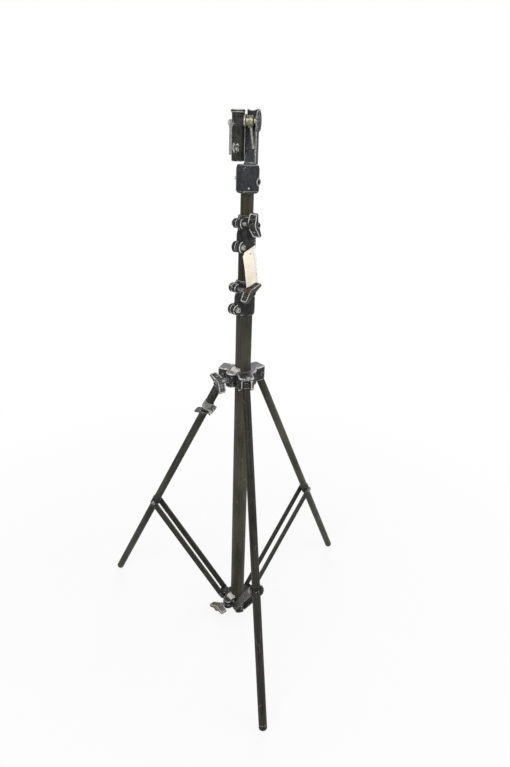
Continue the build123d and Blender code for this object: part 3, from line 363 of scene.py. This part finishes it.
HEAD_BAND = (1.289, 1.318, rgb(0.062, 0.066, 0.073))  # paler neck, from and to these heights
RUST_BAND = (1.015, 1.060, rgb(0.085, 0.052, 0.036))  # browned column knob
HEAD_PATCH = (-0.011, -0.0235, 1.275)  # flaked spot on the socket's front
SLEEVE_PATCH = (-0.027, -0.001, 1.320)  # flaked spot round the sleeve's boss
FINISHES = {
    "column": tube_finish("column_paint", rgb(0.020, 0.019, 0.013), rgb(0.066, 0.062, 0.044)),
    "riser": tube_finish("riser_paint", rgb(0.012, 0.010, 0.007), rgb(0.034, 0.029, 0.020)),
    "top_riser": tube_finish("top_riser_paint", rgb(0.020, 0.018, 0.009), rgb(0.048, 0.044, 0.026)),
    "casting": casting_finish("casting_paint", rgb(0.008, 0.008, 0.009), rgb(0.028, 0.028, 0.030),
                              edge=0.5, chips=0.42),
    # The yoke and the head get a painted highlight on their up-facing faces through top.
    "yoke": casting_finish("yoke_paint", rgb(0.012, 0.012, 0.013), rgb(0.040, 0.040, 0.044),
                           edge=0.85, chips=0.45, top=rgb(0.13, 0.125, 0.14)),
    "head": casting_finish("head_paint", rgb(0.014, 0.016, 0.019), rgb(0.036, 0.041, 0.047),
                           edge=0.5, chips=0.30, top=rgb(0.12, 0.122, 0.125), patch=HEAD_PATCH,
                           band=HEAD_BAND),
    "sleeve": casting_finish("sleeve_paint", rgb(0.012, 0.012, 0.010), rgb(0.036, 0.035, 0.031),
                             edge=0.6, chips=0.35, patch=SLEEVE_PATCH),
    "knob": casting_finish("knob_paint", rgb(0.016, 0.016, 0.016), rgb(0.048, 0.047, 0.046),
                           edge=0.9, chips=0.3),
    "yoke_knob": casting_finish("yoke_knob_paint", rgb(0.030, 0.030, 0.030), rgb(0.10, 0.10, 0.10),
                                edge=1.0, chips=0.8),
    "rusty_knob": casting_finish("rusty_knob_paint", rgb(0.026, 0.025, 0.025),
                                 rgb(0.070, 0.068, 0.067), edge=0.9, chips=0.3, band=RUST_BAND),
    "base_knob": casting_finish("base_knob_paint", rgb(0.10, 0.088, 0.066), rgb(0.26, 0.24, 0.20),
                                edge=0.85, chips=0.4, grime=rgb(0.05, 0.048, 0.04)),
    "collar": casting_finish("lock_collar_paint", rgb(0.07, 0.07, 0.062), rgb(0.33, 0.33, 0.31),
                             edge=0.9, chips=0.6, width=1.2 * MM),
    "plate": casting_finish("lock_plate_paint", rgb(0.012, 0.012, 0.011), rgb(0.050, 0.050, 0.046),
                            edge=0.45, chips=0.35, width=1.0 * MM),
    "disc": casting_finish("disc_paint", rgb(0.010, 0.010, 0.011), rgb(0.030, 0.030, 0.032),
                           edge=0.6, chips=0.4, width=1.2 * MM),
    "strut": casting_finish("strut_paint", rgb(0.012, 0.012, 0.009), rgb(0.034, 0.032, 0.026),
                            edge=0.30, chips=0.2, width=0.8 * MM, grime=rgb(0.09, 0.088, 0.078)),
    "zinc": metal_finish("zinc_plate", rgb(0.34, 0.33, 0.30), rgb(0.62, 0.61, 0.57), metallic=0.6),
    "dark_steel": metal_finish("dark_steel", rgb(0.04, 0.04, 0.038), rgb(0.14, 0.135, 0.13), edge=0.6),
    "shank": metal_finish("shank_steel", rgb(0.10, 0.10, 0.095), rgb(0.45, 0.45, 0.43), edge=0.6),
    "brass": metal_finish("old_brass", rgb(0.12, 0.115, 0.07), rgb(0.40, 0.38, 0.27), metallic=0.7,
                          edge=0.4),
    "shoe": metal_finish("key_steel", rgb(0.20, 0.20, 0.19), rgb(0.32, 0.32, 0.31), rough=(0.5, 0.65),
                         metallic=0.4),
    "nylon": plastic_finish("nylon", rgb(0.50, 0.49, 0.44), rgb(0.80, 0.79, 0.75)),
    "black_plastic": plastic_finish("black_plastic", rgb(0.020, 0.019, 0.014),
                                    rgb(0.045, 0.043, 0.035)),
    "paper": paper_finish(),
}
# The three legs share one paint; their tones are lit and shaded copies of it, the right leg painted lighter
# and the front leg darker, as painted light and shade.
LEG_LIT_AND_SHADED_TONES = {"front": (rgb(0.011, 0.010, 0.007), rgb(0.040, 0.037, 0.030)),
             "right": (rgb(0.026, 0.025, 0.018), rgb(0.088, 0.084, 0.066)),
             "left": (rgb(0.013, 0.012, 0.009), rgb(0.060, 0.057, 0.045))}
for leg, tones in LEG_LIT_AND_SHADED_TONES.items():
    FINISHES["leg_" + leg] = tube_finish("leg_paint_lit_and_shaded_" + leg, *tones, lean(leg))


def paint(mesh, finish):
    """Give a mesh one finish and no other."""
    mesh.materials.clear()
    mesh.materials.append(FINISHES[finish])


WEARS = {
    "column": ["column_tube"],
    "riser": ["middle_riser_tube"],
    "top_riser": ["top_riser_tube"],
    "plate": ["lock_plate"],
    "disc": ["tilt_disc"],
    "collar": ["lock_collar"],
    "strut": ["strut_%s_%s" % (part, leg) for part in ("bars", "sleeve") for leg in LEG_AZIMUTHS],
    "zinc": ["column_collar_screw", "riser_collar_screw", "shoe_screw", "tilt_washer", "hub_handle",
             "head_pins"],
    "shank": ["column_collar_bolt", "riser_collar_bolt", "yoke_clamp_screw", "base_clamp_screw"]
             + ["strut_screws_" + leg for leg in LEG_AZIMUTHS],
    "dark_steel": ["tilt_stud", "hinge_pins", "base_pins", "head_set_screw"],
    "brass": ["clamp_hub"],
    "shoe": ["sleeve_shoe"],
    "nylon": ["yoke_pad", "base_pad"],
    "black_plastic": ["column_plug", "middle_riser_bush", "top_riser_bush"],
    "leg_front": ["leg_tube_front", "leg_head_front", "leg_tip_front"],
    "leg_right": ["leg_tube_right", "leg_head_right", "leg_tip_right"],
    "leg_left": ["leg_tube_left", "leg_head_left", "leg_tip_left", "guide_tube"],
}
for finish, names in WEARS.items():
    for name in names:
        paint(NODES[name].data, finish)


# ---------------------------------------------------------------- cast pieces
DRAWN_FULL = 2 * MM  # a corner drawn in this far has an edge value of 1
FIRST_PASSES = 2  # these take out the steps of the voxels and don't count as wear


def evened(mesh, voxel):
    """Dense even mesh of the same solids, joined where they overlap."""
    holder = bpy.data.objects.new("holder", mesh)
    bpy.context.scene.collection.objects.link(holder)
    remesh = holder.modifiers.new("even", "REMESH")
    remesh.mode = "VOXEL"
    remesh.voxel_size = voxel
    remesh.use_smooth_shade = True
    depsgraph = bpy.context.evaluated_depsgraph_get()
    made = bpy.data.meshes.new_from_object(holder.evaluated_get(depsgraph))
    bpy.data.objects.remove(holder)
    return made


def smoothed(places, pairs, passes):
    """Points drawn towards the mean of their neighbours, as a casting's corners are."""
    degree = np.bincount(pairs.ravel(), minlength=len(places))[:, None]
    for _ in range(passes):
        total = np.zeros_like(places)
        for axis in range(3):
            for near, far in ((0, 1), (1, 0)):
                total[:, axis] += np.bincount(pairs[:, near], places[pairs[:, far], axis], len(places))
        places = (places + total / degree) / 2
    return places


def cast_mesh(mesh, voxel, passes):
    """Softly rounded copy of a solid; its 'edge' attribute keeps how far each point was drawn in."""
    made = evened(mesh, voxel)
    places = np.empty(3 * len(made.vertices))
    made.vertices.foreach_get("co", places)
    pairs = np.empty(2 * len(made.edges), dtype=np.int32)
    made.edges.foreach_get("vertices", pairs)
    pairs = pairs.reshape(-1, 2)
    first = smoothed(places.reshape(-1, 3), pairs, FIRST_PASSES)
    last = smoothed(first, pairs, passes)
    made.vertices.foreach_set("co", last.ravel())
    made.update()
    normals = np.empty(3 * len(made.vertices))
    made.vertices.foreach_get("normal", normals)
    drawn = ((first - last) * normals.reshape(-1, 3)).sum(axis=1)
    made.attributes.new("edge", "FLOAT", "POINT").data.foreach_set("value", drawn / DRAWN_FULL)
    return made


def stand_in(name, mesh, node, finish):
    """Piece that stands for a CAD node, on that node's body and painted with the given finish."""
    paint(mesh, finish)
    piece = bpy.data.objects.new(name, mesh)
    bpy.context.scene.collection.objects.link(piece)
    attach(piece, BODY_OF[node])
    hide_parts(node)


CASTINGS = {  # finish and voxel of each casting
    "column_collar": ("casting", 0.8 * MM),
    "riser_collar": ("casting", 0.8 * MM),
    "leg_yoke": ("yoke", 0.9 * MM),
    "base_collar": ("casting", 0.9 * MM),
    "head_socket": ("head", 0.8 * MM),
    "boom_sleeve": ("sleeve", 0.8 * MM),
}
CASTING_PASSES = 7
TILT_AXIS = Vector(JOINTS["sleeve_tilt"]["axis"])
WEB_FOOT = 1296 * MM  # the head's rear web is above this height
WEB_EDGE = -6.6 * MM  # and its edge beyond this place along the tilt axis
WEB_REACH = 0.55 * MM  # how far that edge is drawn out towards the sleeve's flange


def draw_out_web(mesh):
    """Draw out the edge of the head's rear web, so that no light shows between it and the flange."""
    for vertex in mesh.vertices:
        if vertex.co.z > WEB_FOOT and vertex.co.dot(TILT_AXIS) < WEB_EDGE:
            vertex.co -= TILT_AXIS * WEB_REACH


for node, (finish, voxel) in CASTINGS.items():
    casting = cast_mesh(NODES[node].data, voxel, CASTING_PASSES)
    if node == "head_socket":
        draw_out_web(casting)
    stand_in(node + "_cast", casting, node, finish)


# ---------------------------------------------------------------- wing knobs
# All in millimetres. A wing's outline is (out from the bolt, along the bolt).
KNOB_WING = [(4.5, 3.5), (28.8, 11.5), (28.6, 30.4), (4.5, 24.8)]
WING_CORNER = 3.0
KNOB_REACH, KNOB_RIM, KNOB_WEB = 28.5, 2.6, 1.3  # the wings' reach, rim width and half web
RIM_SLOPE = 0.5  # the rim's inner edge is this much lower than its outer edge
KNOB_HALF_MIDDLE, KNOB_HALF_TIP = 8.0, 3.3  # half the rim's thickness at the bolt and at the tips
KNOB_HUB = [(7.0, 0), (8.0, 1.2), (8.0, 24.0), (6.4, 29.6), (3.8, 29.6), (3.2, 24.6)]
KNOB_HUB_RADIUS, KNOB_SHOULDER = 8.0, 24.0
KNOB_RIB = [(15.0, 8.5), (16.8, 9.0), (16.8, 26), (15.0, 26)]
RIB_FOOT, RIB_TOP = 0.5, 3.6
KNOB_SEAT = 5  # the hub starts this far before the joint's place, over the bolt's end
KNOB_VOXEL, KNOB_PASSES = 0.55 * MM, 4
RUBBED = 0.12  # wear added on the rims and the shoulder, where hands and boxes rub them
RUB_DEPTH, RUB_FADE = 1.1, 0.6  # how deep it reaches below the rim's top, and how softly it ends
SHOULDER_REACH = 1.3  # how far it reaches on each side of the hub's shoulder


def rounded(corners, radius, steps=6):
    """Closed outline with each corner replaced by an arc of about the given radius."""
    points = []
    for place, corner in enumerate(corners):
        here = Vector(corner)
        before = (Vector(corners[place - 1]) - here).normalized()
        after = (Vector(corners[(place + 1) % len(corners)]) - here).normalized()
        half = before.angle(after) / 2
        reach = radius / tan(half)
        middle = here + (before + after).normalized() * radius / sin(half)
        start = here + before * reach - middle
        end = here + after * reach - middle
        for step in range(steps + 1):
            blend = start.lerp(end, step / steps)
            points.append(middle + blend.normalized() * radius)
    return points


def inset(points, width):
    """The same outline moved inwards, point by point."""
    moved = []
    for place, point in enumerate(points):
        along = points[(place + 1) % len(points)] - points[place - 1]
        moved.append(point + Vector((-along.y, along.x)).normalized() * width)
    return moved


def torus(rings):
    """Vertices and faces of a closed band skinned round a cycle of rings."""
    count = len(rings[0])
    vertices = [point for ring in rings for point in ring]
    faces = []
    for row in range(len(rings)):
        near = row * count
        far = (row + 1) % len(rings) * count
        for step in range(count):
            after = (step + 1) % count
            faces.append((near + step, near + after, far + after, far + step))
    return vertices, faces


def solid(rings):
    """Vertices and faces of a solid skinned through closed rings of points, capped at both ends."""
    vertices, faces = torus(rings)
    count = len(rings[0])
    last = len(vertices) - count
    return vertices, faces[:last] + [tuple(reversed(range(count))), tuple(range(last, last + count))]


def joined(solids, matrix):
    """One mesh of several solids given in millimetres, placed by a matrix in metres."""
    vertices, faces = [], []
    for points, loops in solids:
        base = len(vertices)
        vertices += [matrix @ (Vector(point) * MM) for point in points]
        faces += [tuple(base + index for index in loop) for loop in loops]
    mesh = bpy.data.meshes.new("solids")
    mesh.from_pydata(vertices, [], faces)
    return mesh


def round_bar(profile, steps=40):
    """Solid of revolution about Z through (radius, height) pairs."""
    turns = [2 * pi * step / steps for step in range(steps)]
    rings = []
    for radius, height in profile:
        rings.append([(radius * cos(turn), radius * sin(turn), height) for turn in turns])
    return solid(rings)


def knob_half(out):
    """Half thickness of the wings' rim, thick at the hub and thin at the tips."""
    return KNOB_HALF_MIDDLE + (KNOB_HALF_TIP - KNOB_HALF_MIDDLE) * abs(out) / KNOB_REACH


def knob_solids():
    """Wing knob on +Z: two thin webs with tapering rims and a rib each, and a round hub with a hole."""
    solids = [round_bar(KNOB_HUB)]
    outline = rounded(KNOB_WING, WING_CORNER)
    inner = inset(outline, KNOB_RIM)
    rim_rings = ((outline, -1, 0), (outline, 1, 0), (inner, 1, RIM_SLOPE), (inner, -1, RIM_SLOPE))
    for way in (1, -1):
        web = [[(way * out, y, along) for out, along in outline] for y in (-KNOB_WEB, KNOB_WEB)]
        solids.append(solid(web))
        rim = []
        for ring, side, lower in rim_rings:
            rim.append([(way * out, side * (knob_half(out) - lower), along) for out, along in ring])
        solids.append(torus(rim))
        for side in (1, -1):
            rib = [[(way * out, side * y, along) for out, along in KNOB_RIB] for y in (RIB_FOOT, RIB_TOP)]
            solids.append(solid(rib))
    return solids


def proudness(place):
    """How much of the extra wear a point of the knob gets, from its place in the knob's own frame."""
    if abs(place.x) < KNOB_HUB_RADIUS:
        proud = SHOULDER_REACH - abs(place.z - KNOB_SHOULDER)
    else:
        proud = (abs(place.y) - knob_half(place.x) + RUB_DEPTH) / RUB_FADE
    return min(1.0, max(0.0, proud))


def add_knob(node, joint, turn, finish, shift=0.0, size=1.0):
    """Wing knob that stands for a CAD knob.

    Its wings are turned about the bolt by turn degrees from straight down, it is moved along the bolt by
    shift millimetres, and its wings are size times as long.
    """
    axis = Vector(JOINTS[joint]["axis"])
    start = Vector(JOINTS[joint]["pos_m"]) + axis * (shift - KNOB_SEAT) * MM
    wings = -UP * cos(radians(turn)) + UP.cross(axis) * sin(radians(turn))
    matrix = Matrix((wings, axis.cross(wings), axis)).transposed().to_4x4()
    stretch = Matrix.Diagonal((size, 1, 1, 1))
    plain = joined(knob_solids(), Matrix.Translation(start) @ matrix @ stretch)
    mesh = cast_mesh(plain, KNOB_VOXEL, KNOB_PASSES)
    back = stretch.to_3x3().inverted() @ matrix.to_3x3().transposed()
    for vertex, worn in zip(mesh.vertices, mesh.attributes["edge"].data):
        worn.value += RUBBED * proudness(back @ (vertex.co - start) / MM)
    stand_in(node + "_wing", mesh, node, finish)


add_knob("riser_collar_knob", "riser_knob_turn", turn=20, finish="knob", shift=-12)
add_knob("column_collar_knob", "column_knob_turn", turn=-52, finish="rusty_knob", size=1.06)
add_knob("yoke_knob", "yoke_knob_turn", turn=47, finish="yoke_knob")
add_knob("base_knob", "base_knob_turn", turn=105, finish="base_knob", shift=-5, size=1.14)


# ---------------------------------------------------------------- paper tag
TAG_AZIMUTH, TAG_TURN = radians(-75), radians(8)
TAG_HANG = (-3.0 * MM, 1111.5 * MM)  # where it hangs, across and up
TAG_BENDS = {1: (5.0 * MM, 22.0), -1: (12.5 * MM, 60.0)}  # each half's start of the bend, and its curl
TAG_WAVE, TAG_WAVE_TURNS = 0.6 * MM, 90  # height of the slight wave, and radians of it in a metre
TAG_BEND_FULL = 12 * MM  # the 'bend' attribute is 1 this far past the start of the right half's bend
TAG_CUTS_ACROSS = (-17, 18, 1.25)  # first, last and step of the cuts, in millimetres
TAG_CUTS_ALONG = (-97, 97, 4)


def bent_tag():
    """Copy of the card cut into strips and bent back along both long edges, with a slight wave."""
    card = bmesh.new()
    card.from_mesh(NODES["paper_tag"].data)
    across = Vector((-sin(TAG_AZIMUTH), cos(TAG_AZIMUTH), 0))
    outward = Vector((cos(TAG_AZIMUTH), sin(TAG_AZIMUTH), 0))
    hang = across * TAG_HANG[0] + UP * TAG_HANG[1]
    wide = across * cos(TAG_TURN) + UP * sin(TAG_TURN)
    long = wide.cross(outward)
    for direction, (first, last, step) in ((wide, TAG_CUTS_ACROSS), (long, TAG_CUTS_ALONG)):
        for cut in range(int((last - first) / step)):
            place = hang + direction * (first + cut * step) * MM
            whole = card.verts[:] + card.edges[:] + card.faces[:]
            bmesh.ops.bisect_plane(card, geom=whole, plane_co=place, plane_no=direction)
    mesh = bpy.data.meshes.new("card")
    card.to_mesh(mesh)
    card.free()
    bend = mesh.attributes.new("bend", "FLOAT", "POINT").data
    for vertex, value in zip(mesh.vertices, bend):
        over = (vertex.co - hang).dot(wide)
        drop = (vertex.co - hang).dot(long)
        start, curl = TAG_BENDS[1 if over > 0 else -1]
        past = max(0.0, abs(over) - start)
        vertex.co -= outward * (curl * past * past + TAG_WAVE * sin(drop * TAG_WAVE_TURNS))
        value.value = past / TAG_BEND_FULL if over > 0 else 0.0
    mesh.shade_smooth()
    return mesh


stand_in("paper_tag_card", bent_tag(), "paper_tag", "paper")


# ---------------------------------------------------------------- floor, light and camera
FLOOR_HALF = 30.0
FLOOR_GREY = rgb(0.84, 0.84, 0.84)
WHITE = rgb(1, 1, 1)
WORLD_LIGHT = 0.42
CAMERA_PLACE = (-0.2296, -1.3113, 1.3700)
CAMERA_LENS, CAMERA_SENSOR, CAMERA_FAR = 26.54, 36.0, 200
CAMERA_HEADING, CAMERA_DOWN, CAMERA_ROLL = radians(11.325), radians(24.725), radians(2.032)


def backdrop_material():
    """White floor for the camera and for reflections that still takes the stand's soft shadow."""
    m = Material("backdrop_white", Base_Color=FLOOR_GREY, Roughness=0.9)
    t = m.tree
    path = t.add("ShaderNodeLightPath").outputs
    away = t.add("ShaderNodeVectorMath", {0: m.vector}, operation="LENGTH").outputs["Value"]
    white = t.ramp(away, low=0.45, high=1.7, start=0.86, end=1.0)
    glossy = t.math("MULTIPLY", path["Is Glossy Ray"], 0.3)
    seen = t.math("MAXIMUM", t.math("MULTIPLY", path["Is Camera Ray"], white), glossy)
    glow = t.add("ShaderNodeEmission", {"Color": WHITE, "Strength": 1.0})
    blend = t.add("ShaderNodeMixShader", {0: seen, 1: m.shader.outputs[0], 2: glow.outputs[0]})
    t.put(blend.outputs[0], m.material.node_tree.nodes["Material Output"].inputs["Surface"])
    return m.material


def add_floor():
    """Wide floor that belongs to the studio, not to the stand."""
    mesh = bpy.data.meshes.new("floor")
    corners = [(FLOOR_HALF * x, FLOOR_HALF * y, 0) for x, y in ((-1, -1), (1, -1), (1, 1), (-1, 1))]
    mesh.from_pydata(corners, [], [(0, 1, 2, 3)])
    floor = bpy.data.objects.new("floor", mesh)
    bpy.context.scene.collection.objects.link(floor)
    mesh.materials.append(backdrop_material())


def add_world():
    """White surroundings that light the stand less strongly than they show."""
    world = bpy.data.worlds.new("studio")
    world.use_nodes = True
    bpy.context.scene.world = world
    t = Tree(world.node_tree)
    path = t.add("ShaderNodeLightPath").outputs
    back = world.node_tree.nodes["Background"]
    t.put(WHITE, back.inputs["Color"])
    t.put(t.ramp(path["Is Camera Ray"], 0.0, 1.0, start=WORLD_LIGHT, end=1.0), back.inputs["Strength"])


def add_lamp(name, place, target, size, power):
    """Square soft lamp that faces a target."""
    lamp = bpy.data.lights.new(name, "AREA")
    lamp.size = size
    lamp.energy = power
    made = bpy.data.objects.new(name, lamp)
    bpy.context.scene.collection.objects.link(made)
    made.location = place
    made.rotation_euler = (Vector(target) - Vector(place)).to_track_quat("-Z", "Y").to_euler()


def add_camera():
    """Camera at about the head's height, looking down at the middle of the stand."""
    ahead = Vector((sin(CAMERA_HEADING), cos(CAMERA_HEADING), 0))
    forward = ahead * cos(CAMERA_DOWN) - UP * sin(CAMERA_DOWN)
    right = ahead.cross(UP)
    above = right.cross(forward)
    across = right * cos(CAMERA_ROLL) + above * sin(CAMERA_ROLL)
    upward = above * cos(CAMERA_ROLL) - right * sin(CAMERA_ROLL)
    data = bpy.data.cameras.new("camera")
    data.sensor_fit = "VERTICAL"
    data.sensor_height = CAMERA_SENSOR
    data.lens = CAMERA_LENS
    data.clip_end = CAMERA_FAR
    camera = bpy.data.objects.new("camera", data)
    bpy.context.scene.collection.objects.link(camera)
    turn = Matrix((across, upward, -forward)).transposed()
    camera.matrix_world = Matrix.Translation(CAMERA_PLACE) @ turn.to_4x4()
    bpy.context.scene.camera = camera


add_floor()
add_world()
add_lamp("key", place=(-1.6, -2.2, 2.6), target=(0, 0, 0.7), size=2.2, power=60)
add_lamp("fill", place=(2.4, -1.4, 1.6), target=(0, 0, 0.8), size=2.0, power=28)
add_lamp("rim", place=(0.6, 2.4, 2.2), target=(0, 0, 0.8), size=1.6, power=30)
add_camera()
bpy.context.scene.view_settings.view_transform = "Standard"
